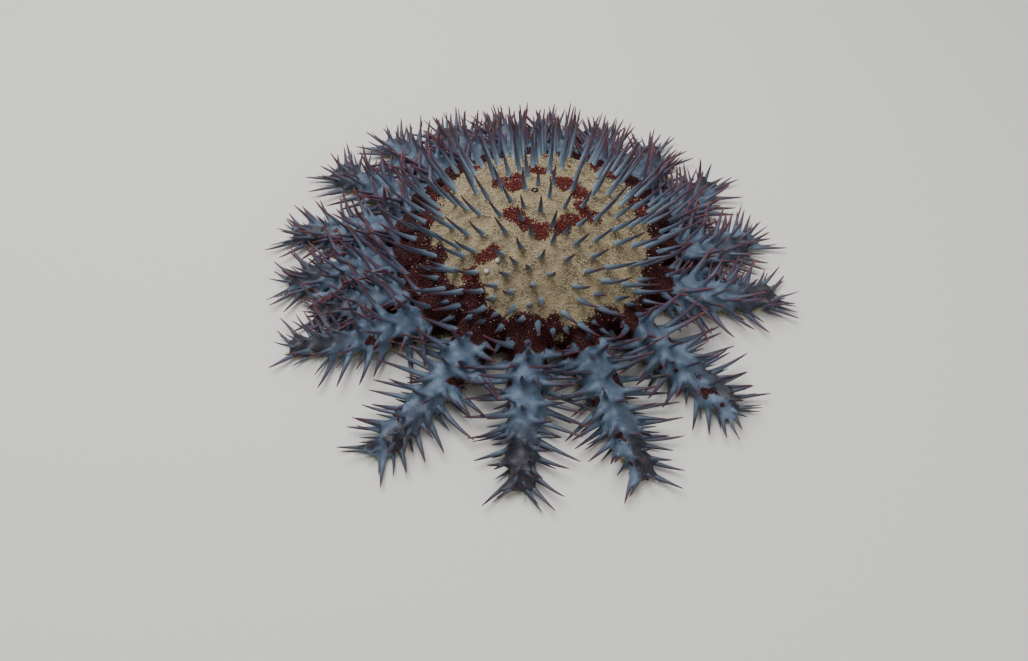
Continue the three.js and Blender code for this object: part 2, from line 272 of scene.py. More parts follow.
# A thorn keeps off the other arms by posts that stand along them, a little wider and higher than the arm is there
POST_SPACE = 3
POST_SHARES = np.arange(1, 20) * 0.05
arm_posts = np.array([arm_path(arm, POST_SHARES)[0] for arm in range(len(ARMS))])
post_radii = arm_width(POST_SHARES) / 2 + POST_SPACE
post_tops = arm_height(POST_SHARES) + POST_SPACE
MOST_THORNS = 4000
BOX_EASE = 0.05
BOX_LOW, BOX_HIGH = (np.array(corner) / MM - DISC_CENTRE for corner in cad_box)
thorn_arm = np.zeros(MOST_THORNS, int)
thorn_root = np.zeros((MOST_THORNS, 3))
thorn_tip = np.zeros((MOST_THORNS, 3))
thorn_length = np.zeros(MOST_THORNS)
thorn_scale = np.zeros(MOST_THORNS)
placed = 0


def rod_space(root, tip, radius, roots, tips, radii):
    """The least space between one cone and many: the closest points of two segments, less the radius at each."""
    u = tip - root
    v = tips - roots
    w = root - roots
    uu, uv, vv = u @ u, v @ u, (v * v).sum(1)
    uw, vw = w @ u, (w * v).sum(1)
    spread = uu * vv - uv * uv
    s = np.where(spread > 1e-9, np.clip((uv * vw - vv * uw) / np.maximum(spread, 1e-9), 0, 1), 0)
    t = np.clip((uv * s + vw) / vv, 0, 1)
    s = np.clip((uv * t - uw) / uu, 0, 1)
    apart = np.linalg.norm(w + s[:, None] * u - t[:, None] * v, axis=1)
    return apart - radius * (1 - s) - radii * (1 - t)


def touches_disc(root, tip, radius):
    """Whether a thorn of an arm comes too near the dome or the rim, tried at eleven places along it."""
    steps = np.linspace(0, 1, 11)
    points = root + steps[:, None] * (tip - root)
    radii = radius * (1 - steps)
    level = np.hypot(points[:, 0], points[:, 1])
    beside = level - radii > DISC_RADIUS + THORN_CLEARANCE
    above = points[:, 2] - radii > dome_height(np.minimum(level, DISC_RADIUS)) + THORN_CLEARANCE
    return not np.all(beside | above)


def touches_arm(node, root, tip):
    """Whether a thorn comes inside a post of any other arm, tried at nine places along it."""
    points = root + np.linspace(0.2, 1, 9)[:, None] * (tip - root)
    others = [arm for arm in range(len(ARMS)) if arm != node]
    away = np.linalg.norm(points[None, :, None, :2] - arm_posts[others][:, None, :, :2], axis=-1)
    return bool(np.any((away < post_radii) & (points[None, :, None, 2] < post_tops)))


def is_clear(node, root, tip, length, radius):
    """Whether a thorn stays off the thorns that are placed, the disc, the other arms and the floor, and in the box."""
    if tip[2] < THORN_LOWEST or np.any(tip > BOX_HIGH + BOX_EASE) or np.any(tip[:2] < BOX_LOW[:2] - BOX_EASE):
        return False
    apart = np.linalg.norm(thorn_root[:placed] - root, axis=1)
    near = np.flatnonzero(apart <= length + thorn_length[:placed])
    radii = THORN_ROOT_RADIUS * thorn_scale[near]
    need = np.where(thorn_arm[near] == node, THORN_TOUCH, THORN_CLEARANCE)
    if np.any(rod_space(root, tip, radius, thorn_root[near], thorn_tip[near], radii) < need):
        return False
    if node >= 0 and touches_disc(root, tip, radius):
        return False
    return not touches_arm(node, root, tip)


def turned(aim, lift, swing):
    """A unit way that is lifted from the floor and swung about the upright by so many degrees."""
    bearing = math.degrees(math.atan2(aim[1], aim[0])) + swing
    rise = math.degrees(math.atan2(aim[2], math.hypot(aim[0], aim[1]))) + lift
    return polar(math.cos(math.radians(rise)), bearing, math.sin(math.radians(rise)))


def place_thorn(node, root, aim, length, scale):
    """Adds a thorn in the first way that is clear: turned a little at its full length, and then shorter."""
    global placed
    for cut in CUTS:
        for lift, swing in TURNS:
            tip = root + turned(aim, lift, swing) * cut * length
            if is_clear(node, root, tip, cut * length, scale * THORN_ROOT_RADIUS):
                thorn_arm[placed], thorn_length[placed], thorn_scale[placed] = node, cut * length, scale
                thorn_root[placed], thorn_tip[placed] = root, tip
                placed += 1
                return


def unit(vector):
    """The vector over its own length."""
    return vector / np.linalg.norm(vector)


def has_room(root, apart):
    """Whether every placed thorn's root is at least so far from this one."""
    return np.all(np.linalg.norm(thorn_root[:placed] - root, axis=1) >= apart)


def place_disc_thorns(count, seed, shortest, longest, root_scale, apart=0.0):
    """Thorns on a sunflower spiral over the dome: each turns the golden angle on, and its radius grows nearly as the
    square root of its number. They are longer, stouter and lean further out towards the rim."""
    for k in range(count):
        share = math.sqrt((k + 0.6) / count)
        radius = SPIRAL_REACH * DISC_RADIUS * share**0.93
        bearing = GOLDEN_ANGLE * k + 5 * sway(k, 1 + seed, 0) + seed
        lean = math.radians(mix(CENTRE_LEAN, RIM_LEAN, share) + 6 * sway(k, 2 + seed, 0))
        outward = polar(1, bearing + 9 * sway(k, 3 + seed, 0))
        aim = unit(dome_normal(radius, bearing) * math.cos(lean) + outward * math.sin(lean))
        length = mix(shortest, longest, share) * (1 + 0.14 * sway(k, 4 + seed, 0))
        root = dome_point(radius, bearing)
        if has_room(root, apart):
            place_thorn(-1, root, aim, length, root_scale * mix(CENTRE_SCALE, 1, share))


def place_margin_thorns(radius, height, first, last):
    """A row of thorns round the front of the disc, on the dome's edge or on the upright rim below it."""
    row = int(radius)
    for k, bearing in enumerate(np.arange(first, last, MARGIN_STEP)):
        bearing = bearing + 2.4 * sway(k, 91, row)
        if height is None:
            root, out = dome_point(radius, bearing), dome_normal(radius, bearing)
        else:
            root, out = polar(radius, bearing, height), polar(1, bearing, 0.35)
        aim = unit(out + polar(0.25, bearing + 60 * sway(k, 92, row)))
        length = MARGIN_LENGTH * (1 + 0.2 * sway(k, 93, row))
        if has_room(root, MARGIN_APART):
            place_thorn(-1, root, aim, length, MARGIN_SCALE)


def place_tip_thorns(arm, fan, length, seed, scale):
    """A fan of thorns that spread from one place inside the arm's tip."""
    origin, along = arm_path(arm, FAN_SHARE)
    root = origin + np.array([0, 0, 0.55 * arm_height(FAN_SHARE)])
    for k, (swing, lift) in enumerate(fan):
        bearing = math.degrees(math.atan2(along[1], along[0])) + swing + 6 * sway(arm, 7 + seed, k)
        aim = unit(polar(1, bearing, math.tan(math.radians(lift))))
        place_thorn(arm, root, aim, length * (1 + 0.15 * sway(arm, 8 + seed, k)), scale)


def place_arm_thorns(arm, rows, seed, scale, spread=0.12):
    """Rows of thorns along an arm: each thorn strays a little from its even place, leans towards the tip, further as
    the row goes on, and has a length between the row's two, give or take the spread."""
    for r, (around, first, last, count, long, short, lean) in enumerate(rows):
        for k in range(count):
            part = k / (count - 1)
            share = mix(first, last, part) + STRAY_ALONG * sway(arm, r + seed, k)
            share = min(max(share, 0.0), 0.985)
            place = around + STRAY_ROUND * sway(arm + 40, r + seed, k)
            tilt = math.radians(lean + LAST_LEAN * part**2 + STRAY_LEAN * sway(arm + 80, r + seed, k))
            aim = arm_normal(arm, share, place) * math.cos(tilt) + arm_path(arm, share)[1] * math.sin(tilt)
            aim[2] = max(aim[2], LEAST_RISE)
            length = mix(long, short, part) * (1 + spread * sway(arm + 120, r + seed, k))
            root_scale = scale * mix(FIRST_SCALE, LAST_SCALE, part)
            place_thorn(arm, arm_point(arm, share, place), unit(aim), length, root_scale)


place_disc_thorns(DISC_THORNS, seed=0, shortest=17, longest=38, root_scale=1)
for arm in range(len(ARMS)):
    place_tip_thorns(arm, TIP_FAN, length=20, seed=0, scale=0.72)
    place_arm_thorns(arm, ROWS, seed=0, scale=1)
main_thorns = placed
for row in MARGIN_ROWS:
    place_margin_thorns(*row)
for arm in range(len(ARMS)):
    if arm in CROWDED_ARMS:
        place_arm_thorns(arm, CROWDED_ROWS, seed=50, scale=0.85, spread=0.2)
    else:
        place_arm_thorns(arm, FRONT_ROWS, seed=80, scale=1.0, spread=0.25)
    place_tip_thorns(arm, SMALL_TIP_FAN, length=29, seed=20, scale=0.56)
    place_arm_thorns(arm, SMALL_ROWS, seed=20, scale=0.62, spread=0.3)
place_disc_thorns(DISC_SMALL_THORNS, seed=31, shortest=11, longest=33, root_scale=0.86, apart=DISC_SMALL_APART)

thorn_arm, thorn_root, thorn_tip = thorn_arm[:placed], thorn_root[:placed], thorn_tip[:placed]
thorn_length, thorn_scale = thorn_length[:placed], thorn_scale[:placed]
thorn_aim = (thorn_tip - thorn_root) / thorn_length[:, None]

# The skin. It is the soft outer skin of the whole animal, in one piece over its plates of lime, and it is drawn up into
# a web round the foot of each thorn. It is made as the surface where a field of distances to the disc, the arms and the
# thorns' feet is zero, with the field rounded where two of them meet.

PITCH = 1.9  # spacing of the field's samples, which keeps the skin under 200,000 triangles
FIELD_LOW = PITCH * np.array([-107, -107, -2])
FIELD_COUNT = np.array([215, 215, 49])
SMOOTH_ROUNDS = 2
SKIN_LOWEST = 0.05
OUTSIDE = 99.0  # the distance to the nearest thorn's foot where there is none
RIM_ROUND = 5
UNDERSIDE_SLOPE = 0.7  # how fast the distance grows below the disc and the soles, so that they stay crisp
ARM_BLEND = 10
PATH_STEPS = 65  # places along an arm's midline among which the nearest is found
ARM_SPAN = 22  # how far round its midline an arm's distances are worked out
ARM_SLIM = 0.5  # how much narrower the soft arm is at its tip than the line that the thorns stand on
BLUNT_FROM = 0.93  # the share of an arm beyond which its section no longer shrinks and its end closes instead
DISC_WEB = 3  # how far the skin is drawn up round a thorn of the disc, and of an arm
ARM_WEB = 8
FINE_WEB = 0.5  # and the share of it round the finer thorns
DISC_FLARE = 1.12  # how much wider than its thorn a foot is
ARM_FLARE = 1.25
FOOT_REACH = 14.0  # how far up a thorn its foot of skin goes
FOOT_SPAN = 18
GROOVE_DEPTH = 4
GROOVE_HALF = 2.8
MOUTH_RADIUS = 17
MOUTH_DEPTH = 9
SOLE_GROOVE = 0.24  # depth and half width of the groove along a sole, as shares of the arm's height and half width


def blend_near(a, b, reach):
    """The lesser of two distances, rounded where they are within reach of each other, by a parabola."""
    share = np.clip(0.5 + 0.5 * (b - a) / reach, 0, 1)
    return mix(b, a, share) - reach * share * (1 - share)


def blend_far(a, b, reach):
    """The greater of two distances, rounded in the same way."""
    return -blend_near(-a, -b, reach)


def axis_values(axis):
    """Where the field's samples lie along one axis."""
    return FIELD_LOW[axis] + PITCH * np.arange(FIELD_COUNT[axis])


def disc_field():
    """The disc: inside the sphere, inside the rim and over an underside with a groove to each arm and the mouth."""
    x, y, z = np.meshgrid(*(axis_values(axis) for axis in range(3)), indexing="ij", sparse=True)
    level = np.hypot(x, y)
    sphere = np.sqrt(level**2 + (z - (RIM_HEIGHT + DOME_RISE - DOME_SPHERE)) ** 2) - DOME_SPHERE
    floor = np.full(level.shape, float(DISC_UNDERSIDE))
    for root, _, _ in ARMS:
        way = polar(1, root)
        aside = np.abs(x * way[1] - y * way[0])
        groove = np.clip(1.3 * (1 - aside / GROOVE_HALF), 0, 1) * ((x * way[0] + y * way[1]) > 0)
        floor = np.maximum(floor, DISC_UNDERSIDE + GROOVE_DEPTH * groove)
    mouth = np.clip((MOUTH_RADIUS - level) / 2, 0, 1)
    floor = np.maximum(floor, DISC_UNDERSIDE + MOUTH_DEPTH * mouth)
    body = blend_far(sphere, level - DISC_RADIUS, RIM_ROUND)
    return np.maximum(body, UNDERSIDE_SLOPE * (floor - z)).astype(np.float32)


def along_arm(arm, x, y):
    """For points on the floor: the nearest share of an arm's midline, the way off it, and the way past its tip."""
    shares = np.linspace(0, 1, PATH_STEPS)
    path, along = arm_path(arm, shares)
    nearest = np.full(x.shape, 1e9)
    index = np.zeros(x.shape, int)
    for k in range(len(shares)):
        apart = (x - path[k, 0]) ** 2 + (y - path[k, 1]) ** 2
        closer = apart < nearest
        nearest[closer] = apart[closer]
        index[closer] = k
    dx, dy = x - path[index, 0], y - path[index, 1]
    tx, ty = along[index, 0], along[index, 1]
    forward = dx * tx + dy * ty
    span = np.linalg.norm(path[1] - path[0])
    share = np.clip(shares[index] + forward / span / (len(shares) - 1), 0, 1)
    past = np.where(index == len(shares) - 1, np.maximum(forward, 0), 0)
    return share, dy * tx - dx * ty, past


def soft_half(share):
    """Half the width of the soft arm: the arm's, drawn in towards the tip by a power of the share."""
    return arm_width(share) / 2 * (1 - ARM_SLIM * share**1.5)


def add_arm(field, arm):
    """An arm: an ellipse over its widest line, drawn in below it to the sole, with a groove along the sole."""
    ends = arm_path(arm, np.linspace(0, 1, 9))[0]
    low = np.maximum(((ends.min(0) - ARM_SPAN - FIELD_LOW) / PITCH).astype(int), 0)
    high = np.minimum(((ends.max(0) + ARM_SPAN - FIELD_LOW) / PITCH).astype(int), FIELD_COUNT)
    x, y = np.meshgrid(axis_values(0)[low[0] : high[0]], axis_values(1)[low[1] : high[1]], indexing="ij")
    share, aside, past = along_arm(arm, x, y)
    flat = np.minimum(share, BLUNT_FROM)
    half = soft_half(flat)[..., None]
    height = arm_height(flat)[..., None]
    z = axis_values(2)[None, None, :]
    wide = FLANK_SHARE * height
    rest = (1 - FLANK_SHARE) * height
    aside, past = np.abs(aside)[..., None], past[..., None]
    past = past + np.maximum((share[..., None] - BLUNT_FROM) / (1 - BLUNT_FROM), 0) * 0.6 * half
    up = np.sqrt((aside / half) ** 2 + (past / half) ** 2 + ((z - wide) / rest) ** 2)
    crown = (up - 1) * np.minimum(half, rest)
    drawn_in = 1 - SOLE_INSET * np.clip((wide - z) / wide, 0, 1)
    side = np.hypot(aside, past) - half * drawn_in
    sole = SOLE_GROOVE * height * np.clip(1.2 - aside / (SOLE_GROOVE * half), 0, 1)
    body = np.where(z > wide, crown, side)
    body = np.maximum(body, UNDERSIDE_SLOPE * (sole - z))
    block = field[low[0] : high[0], low[1] : high[1], :]
    block[...] = blend_near(block, body, ARM_BLEND)


def add_thorn_foot(field, feet, root, aim, length, radius, flare, web):
    """A thorn's foot: a cone about its axis that is a little wider than the thorn at the skin and ends inside it. It
    also keeps how far each sample is from the nearest thorn, for the colours."""
    reach = min(FOOT_REACH, 0.55 * length)
    low = np.maximum(((root - FOOT_SPAN - FIELD_LOW) / PITCH).astype(int), 0)
    high = np.minimum(((root + FOOT_SPAN - FIELD_LOW) / PITCH).astype(int) + 1, FIELD_COUNT)
    x, y, z = np.meshgrid(*(axis_values(k)[low[k] : high[k]] - root[k] for k in range(3)), indexing="ij", sparse=True)
    onward = np.clip(x * aim[0] + y * aim[1] + z * aim[2], -3, reach)
    apart = np.sqrt((x - onward * aim[0]) ** 2 + (y - onward * aim[1]) ** 2 + (z - onward * aim[2]) ** 2)
    cone = apart - flare * radius * np.clip(1.0 - 0.75 * onward / reach, 0.25, 1.15)
    box = tuple(slice(low[k], high[k]) for k in range(3))
    field[box] = blend_near(field[box], cone, web)
    feet[box] = np.minimum(feet[box], apart - radius)


def net_surface(field):
    """The surface where a field is zero, as a net: one vertex in each cell that it crosses, at the mean of the
    crossings of the cell's edges, and one four-sided face round each edge that it crosses."""
    inside = field < 0
    shape = np.array(field.shape) - 1
    total = np.zeros((*shape, 3), np.float32)
    count = np.zeros(shape, np.float32)
    crossings = []
    for axis in range(3):
        ahead = [slice(None)] * 3
        behind = [slice(None)] * 3
        ahead[axis], behind[axis] = slice(1, None), slice(None, -1)
        a, b = field[tuple(behind)], field[tuple(ahead)]
        where = np.argwhere(inside[tuple(behind)] != inside[tuple(ahead)])
        fa, fb = a[tuple(where.T)], b[tuple(where.T)]
        place = where.astype(np.float32)
        place[:, axis] += fa / (fa - fb)
        others = [k for k in range(3) if k != axis]
        cells = []
        for i, j in ((0, 0), (1, 0), (1, 1), (0, 1)):
            cell = where.copy()
            cell[:, others[0]] -= i
            cell[:, others[1]] -= j
            np.add.at(total, tuple(cell.T), place)
            np.add.at(count, tuple(cell.T), 1)
            cells.append(cell)
        crossings.append((axis, fa < 0, cells))
    used = count > 0
    number = np.full(shape, -1)
    number[used] = np.arange(used.sum())
    points = total[used] / count[used][:, None]
    faces = []
    for axis, leaving, cells in crossings:
        quad = np.stack([number[tuple(cell.T)] for cell in cells], 1)
        flip = ~leaving if axis != 1 else leaving
        quad[flip] = quad[flip][:, ::-1]
        faces.append(quad)
    return FIELD_LOW + PITCH * points, np.concatenate(faces)


def smoothed(points, faces, rounds, strength):
    """Moves each vertex part of the way to the mean of the vertices that share an edge with it."""
    a = faces.ravel()
    b = np.roll(faces, -1, axis=1).ravel()
    for _ in range(rounds):
        total = np.zeros_like(points)
        for axis in range(3):
            total[:, axis] = np.bincount(a, points[b, axis], len(points)) + np.bincount(b, points[a, axis], len(points))
        count = np.bincount(a, minlength=len(points)) + np.bincount(b, minlength=len(points))
        points = mix(points, total / count[:, None], strength)
    return points


def new_piece(name, points, faces):
    """A smooth mesh object from points in millimetres about the disc's centre and faces of one size, at the origin."""
    points = (np.asarray(points, float) + DISC_CENTRE) * MM
    mesh = bpy.data.meshes.new(name)
    mesh.vertices.add(len(points))
    mesh.vertices.foreach_set("co", points.astype(np.float32).ravel())
    sides = faces.shape[1]
    mesh.loops.add(faces.size)
    mesh.loops.foreach_set("vertex_index", faces.astype(np.int32).ravel())
    mesh.polygons.add(len(faces))
    mesh.polygons.foreach_set("loop_start", np.arange(0, faces.size, sides, dtype=np.int32))
    mesh.polygons.foreach_set("use_smooth", np.ones(len(faces), bool))
    mesh.update(calc_edges=True)
    piece = bpy.data.objects.new(name, mesh)
    bpy.context.scene.collection.objects.link(piece)
    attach(piece, "root")
    return piece


def set_values(piece, name, values):
    """Keeps one number for each vertex under a name that a material can read."""
    attribute = piece.data.attributes.new(name, "FLOAT", "POINT")
    attribute.data.foreach_set("value", np.asarray(values, np.float32).ravel())


field = disc_field()
feet = np.full(field.shape, OUTSIDE, np.float32)
for arm in range(len(ARMS)):
    add_arm(field, arm)
for k in range(len(thorn_root)):
    web, flare = (DISC_WEB, DISC_FLARE) if thorn_arm[k] < 0 else (ARM_WEB, ARM_FLARE)
    web = web * min(thorn_scale[k], 1) * (1 if k < main_thorns else FINE_WEB)
    radius = thorn_scale[k] * THORN_ROOT_RADIUS
    add_thorn_foot(field, feet, thorn_root[k], thorn_aim[k], thorn_length[k], radius, flare, web)
field = np.maximum(field, -axis_values(2)[None, None, :].astype(np.float32))
skin_points, skin_faces = net_surface(field)
skin_points = smoothed(skin_points, skin_faces, SMOOTH_ROUNDS, 0.5)
skin_points[:, 2] = np.maximum(skin_points[:, 2], SKIN_LOWEST)
skin = new_piece("skin", skin_points, skin_faces)
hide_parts("disc", *(f"arm_{arm + 1:02d}" for arm in range(len(ARMS))))

# The skin's colours. They are the living colours of one moist, granular skin. The disc is tan with dark red blotches in
# a broken ring, its margin and the arms' flanks are dark red, and the arms' crowns and the thorns' feet are slate blue.
# Each mark is a number from 0 to 1 at every vertex, and the skin's material blends its colours by them.

skin_normals = np.zeros(3 * len(skin_points), np.float32)
skin.data.vertices.foreach_get("normal", skin_normals)
skin_normals = skin_normals.reshape(-1, 3)
# Dark red blotches on the dome: where they lie and how wide they are, in a broken ring about the apex and beyond it
BLOTCHES = [
    (-18, 14, 9),
    (-26, 20, 8.5),
    (-17, 25, 6.5),
    (-4, 36, 6.5),
    (6, 33, 6),
    (18, 18, 8.5),
    (30, 10, 7.5),
    (29, -5, 7.5),
    (23, -17, 8.5),
    (17, -25, 6.5),
    (36, -12, 6),
    (1, -28, 6),
    (-8, -23, 7),
    (-15, -14, 9.5),
    (-31, -39, 5.5),
    (-39, -43, 4),
    (-46, -50, 6.5),
    (-70, 36, 10),
    (-76, 10, 9),
    (74, 18, 10),
    (4, 66, 8),
    (50, 54, 9),
    (-44, 62, 8),
]
# The border of the dark red margin: its radius at bearings right round the disc
MARGIN_BEARINGS = [-180, -150, -121, -100, -80, -55, -40, -15, 20, 60, 90, 120, 150, 180]
MARGIN_RADII = [74, 75, 76, 81, 84, 87, 85, 79, 80, 84, 80, 83, 77, 74]


def cell_corners(part):
    """The eight corners of a cell, and the weight of each for points that are a part of the way across the cell."""
    for corner in range(8):
        offset = np.array([corner & 1, (corner >> 1) & 1, corner >> 2])
        yield offset, np.prod(np.where(offset, part, 1 - part), axis=1)


def value_noise(points, size, seed):
    """Smooth noise from 0 to 1: random values on a grid of cells of the given size, blended by a smooth step. A value
    comes from the cell's three numbers and the seed, each times a large prime, with their bits mixed."""
    scaled = np.asarray(points, float) / size + 1000.0
    base = np.floor(scaled).astype(np.int64)
    part = scaled - base
    part = part * part * (3 - 2 * part)
    total = np.zeros(len(scaled))
    for offset, weight in cell_corners(part):
        cell = base + offset
        code = cell[:, 0] * 73856093 ^ cell[:, 1] * 19349663 ^ cell[:, 2] * 83492791 ^ seed * 2654435761
        code = (code ^ (code >> 13)) * 1274126177 & 0x7FFFFFFF
        total += weight * (((code ^ (code >> 16)) & 0xFFFF) / 65535)
    return total


def rise(values, low, high):
    """0 below low, 1 above high, and a smooth rise between."""
    share = np.clip((values - low) / (high - low), 0, 1)
    return share * share * (3 - 2 * share)


def nearest_arm(points):
    """For each point: the nearest arm, the share of it that the point lies along, and how far it is off its midline."""
    best = np.full(len(points), 999.0)
    arm_of = np.zeros(len(points), int)
    share = np.zeros(len(points))
    off = np.zeros(len(points))
    for arm in range(len(ARMS)):
        here, aside, past = along_arm(arm, points[:, 0], points[:, 1])
        away = np.hypot(aside, past)
        closer = away < best
        best[closer], share[closer], off[closer], arm_of[closer] = away[closer], here[closer], aside[closer], arm
    return arm_of, share, off


def field_at(values, points):
    """A field's value at points, blended from the eight samples round each."""
    place = (points - FIELD_LOW) / PITCH
    base = np.clip(place.astype(int), 0, FIELD_COUNT - 2)
    part = np.clip(place - base, 0, 1)
    total = np.zeros(len(points))
    for offset, weight in cell_corners(part):
        total += weight * values[tuple((base + offset).T)]
    return total


x, y, z = skin_points.T
level = np.hypot(x, y)
bearing = np.arctan2(y, x)
skin_share = nearest_arm(skin_points)[1]
foot = field_at(feet, skin_points)
rough = value_noise(skin_points, 11, 1) + 0.5 * value_noise(skin_points, 5, 2) - 0.75
on_arm = rise(level, DISC_RADIUS + 9, DISC_RADIUS + 21)
height_share = z / arm_height(np.minimum(skin_share, 0.9))
# Slate covers an arm from about its middle height up, and a ring of skin round each thorn, which is wider on the arms
web = on_arm * rise(height_share + 0.3 * rough, 0.52, 0.78)
web = np.maximum(web, rise(-foot, -0.4 - 2.9 * on_arm, 0.5 - 1.8 * on_arm))
margin = np.interp(np.degrees(bearing), MARGIN_BEARINGS, MARGIN_RADII) + 1.5 * np.sin(11 * bearing + 4)
margin_red = rise(level + 11 * rough, margin - 2, margin + 4)
blots = np.zeros(len(skin_points))
for across, back, size in BLOTCHES:
    blots = np.maximum(blots, np.exp(-((np.hypot(x - across, y - back) / size) ** 2)))
blotch_red = rise(blots + 0.8 * rough, 0.46, 0.66) * (z > RIM_HEIGHT)
red = np.maximum(margin_red, blotch_red)
under = rise(-skin_normals[:, 2], 0.15, 0.6)
tip = on_arm * rise(skin_share + 0.15 * rough, 0.5, 0.88)
above = 1 - under
SKIN_MARKS = {
    "web": web * above,
    "pale": 1 - rise(level, 74, DISC_RADIUS),  # the slate is paler on the dome
    "red": red * above,
    "deep": margin_red * above,
    "tip": tip * above,
    "under": under,
}
for name, values in SKIN_MARKS.items():
    set_values(skin, name, values)


def linear(code):
    """A linear colour from an sRGB hex code, by the sRGB curve."""
    parts = [int(code[i : i + 2], 16) / 255 for i in (0, 2, 4)]
    return [x / 12.92 if x <= 0.04045 else ((x + 0.055) / 1.055) ** 2.4 for x in parts] + [1.0]


def add_node(tree, kind, output, sockets, **settings):
    """Adds a shader node with its settings, and gives one of its outputs. Each of its sockets, by name or number, takes
    an output, which is linked, or a number or hex colour."""
    node = tree.nodes.new("ShaderNode" + kind)
    for key, value in settings.items():
        setattr(node, key, value)
    for key, value in sockets.items():
        if isinstance(value, bpy.types.NodeSocket):
            tree.links.new(value, node.inputs[key])
        else:
            node.inputs[key].default_value = linear(value) if isinstance(value, str) else value
    return node.outputs[output]


def painted(tree, colour, layers):
    """Paints layers over a colour. Each layer's colour covers by an amount, times a smooth rise of a value from low to
    high, or times the value itself where no low and high are given."""
    for over, value, amount, *edges in layers:
        limits = {"Value": value, "To Max": amount, **dict(zip(("From Min", "From Max"), edges))}
        share = add_node(tree, "MapRange", "Result", limits, interpolation_type="SMOOTHSTEP" if edges else "LINEAR")
        colour = add_node(tree, "Mix", 2, {0: share, 6: colour, 7: over}, data_type="RGBA")
    return colour


def marks_of(tree, *names):
    """The numbers that are kept for each vertex under these names."""
    return [add_node(tree, "Attribute", "Fac", {}, attribute_name=name) for name in names]


def new_finish(name, roughness, ior, specular=0.5):
    """A material with its node tree and shader, and the values that are the same all over it."""
    material = bpy.data.materials.new(name)
    material.use_nodes = True
    shader = material.node_tree.nodes["Principled BSDF"]
    shader.inputs["Roughness"].default_value = roughness
    shader.inputs["IOR"].default_value = ior
    shader.inputs["Specular IOR Level"].default_value = specular
    return material, material.node_tree, shader


def per_metre(size):
    """A pattern's scale from the size of its cells in millimetres."""
    return 1 / (size * MM)


# Sizes of the patterns: mottling, grain, and granules with a fine net of pale lines round them
MOTTLE = 9.09
GRAIN = 1.538
SPECK = 2.5
NET_CELL = 5.882
DRY_ROUGHNESS = 0.66
WEB_ROUGHNESS = 0.46


def skin_material():
    """Moist living skin over lime grains: matt under water, mottled, and grainy at about a millimetre. Its webs are
    smoother and wetter, and the grain lies flat on them."""
    material, tree, shader = new_finish("moist_starfish_skin", DRY_ROUGHNESS, 1.38, 0.42)
    place = add_node(tree, "TexCoord", "Object", {})
    mottle = {"Vector": place, "Scale": per_metre(MOTTLE), "Detail": 4, "Roughness": 0.6}
    cloud = add_node(tree, "TexNoise", "Fac", mottle)
    fine = {"Vector": place, "Scale": per_metre(GRAIN), "Detail": 3, "Roughness": 0.7}
    grain = add_node(tree, "TexNoise", "Fac", fine)
    granule = add_node(tree, "TexVoronoi", "Distance", {"Vector": place, "Scale": per_metre(SPECK)})
    cell = {"Vector": place, "Scale": per_metre(NET_CELL)}
    net = add_node(tree, "TexVoronoi", "Distance", cell, feature="DISTANCE_TO_EDGE")
    red, deep, web, pale, tip, under = marks_of(tree, "red", "deep", "web", "pale", "tip", "under")
    on_tan = [
        ("85765a", cloud, 1, 0.36, 0.64),
        ("9b8d71", net, 0.55, 0.07, 0.01),
        ("95876b", grain, 1, 0.42, 0.78),
        ("a69779", granule, 0.3, 0.3, 0.14),
    ]
    tan = painted(tree, "574c38", on_tan)
    dark_blood = painted(tree, "260e0f", [("4c1f1f", grain, 1, 0.38, 0.66)])
    blood = painted(tree, "371312", [("612721", grain, 1, 0.38, 0.66), (dark_blood, deep, 1)])
    on_slate = [("5a6a7e", cloud, 1, 0.3, 0.7), ("677789", grain, 0.4, 0.45, 0.75), ("798996", pale, 1)]
    slate = painted(tree, "3f4d5e", on_slate)
    dusk = painted(tree, "1e1a1f", [("353038", grain, 1, 0.35, 0.65)])
    cream = painted(tree, "9a8862", [("b5a57d", cloud, 1, 0.35, 0.65)])
    # The grain makes the borders of the red and of the webs ragged
    ragged = add_node(tree, "Math", 0, {0: grain, 1: 1.1, 2: -0.55}, operation="MULTIPLY_ADD")
    red_edge = add_node(tree, "Math", 0, {0: red, 1: ragged}, operation="ADD")
    web_edge = add_node(tree, "Math", 0, {0: ragged, 1: 0.15, 2: web}, operation="MULTIPLY_ADD")
    layers = [(blood, red_edge, 1, 0.42, 0.58), (slate, web_edge, 1, 0.35, 0.65), (dusk, tip, 0.95), (cream, under, 1)]
    tree.links.new(painted(tree, tan, layers), shader.inputs["Base Color"])
    on_web = {"Value": web_edge, "From Min": 0.35, "From Max": 0.65}
    damp = {**on_web, "To Min": DRY_ROUGHNESS, "To Max": WEB_ROUGHNESS}
    damp = add_node(tree, "MapRange", "Result", damp, interpolation_type="SMOOTHSTEP")
    tree.links.new(damp, shader.inputs["Roughness"])
    grainy = {**on_web, "To Min": 1, "To Max": 0.2}
    grainy = add_node(tree, "MapRange", "Result", grainy, interpolation_type="SMOOTHSTEP")
    speck = {"Value": granule, "From Min": 0.3, "From Max": 0.14, "To Max": 0.4}
    speck = add_node(tree, "MapRange", "Result", speck, interpolation_type="SMOOTHSTEP")
    height = add_node(tree, "Math", 0, {0: speck, 1: grain}, operation="ADD")
    height = add_node(tree, "Math", 0, {0: height, 1: grainy}, operation="MULTIPLY")
    bump = add_node(tree, "Bump", "Normal", {"Height": height, "Strength": 0.45, "Distance": 0.4 * MM})
    tree.links.new(bump, shader.inputs["Normal"])
    return material


skin.data.materials.append(skin_material())

# The papulae and granules. Papulae are soft red beads of skin that the animal breathes through, crowded in the red
# parts. Granules are blunt cream pegs of lime, scattered over the tan. Each kind is one joined mesh on the skin.

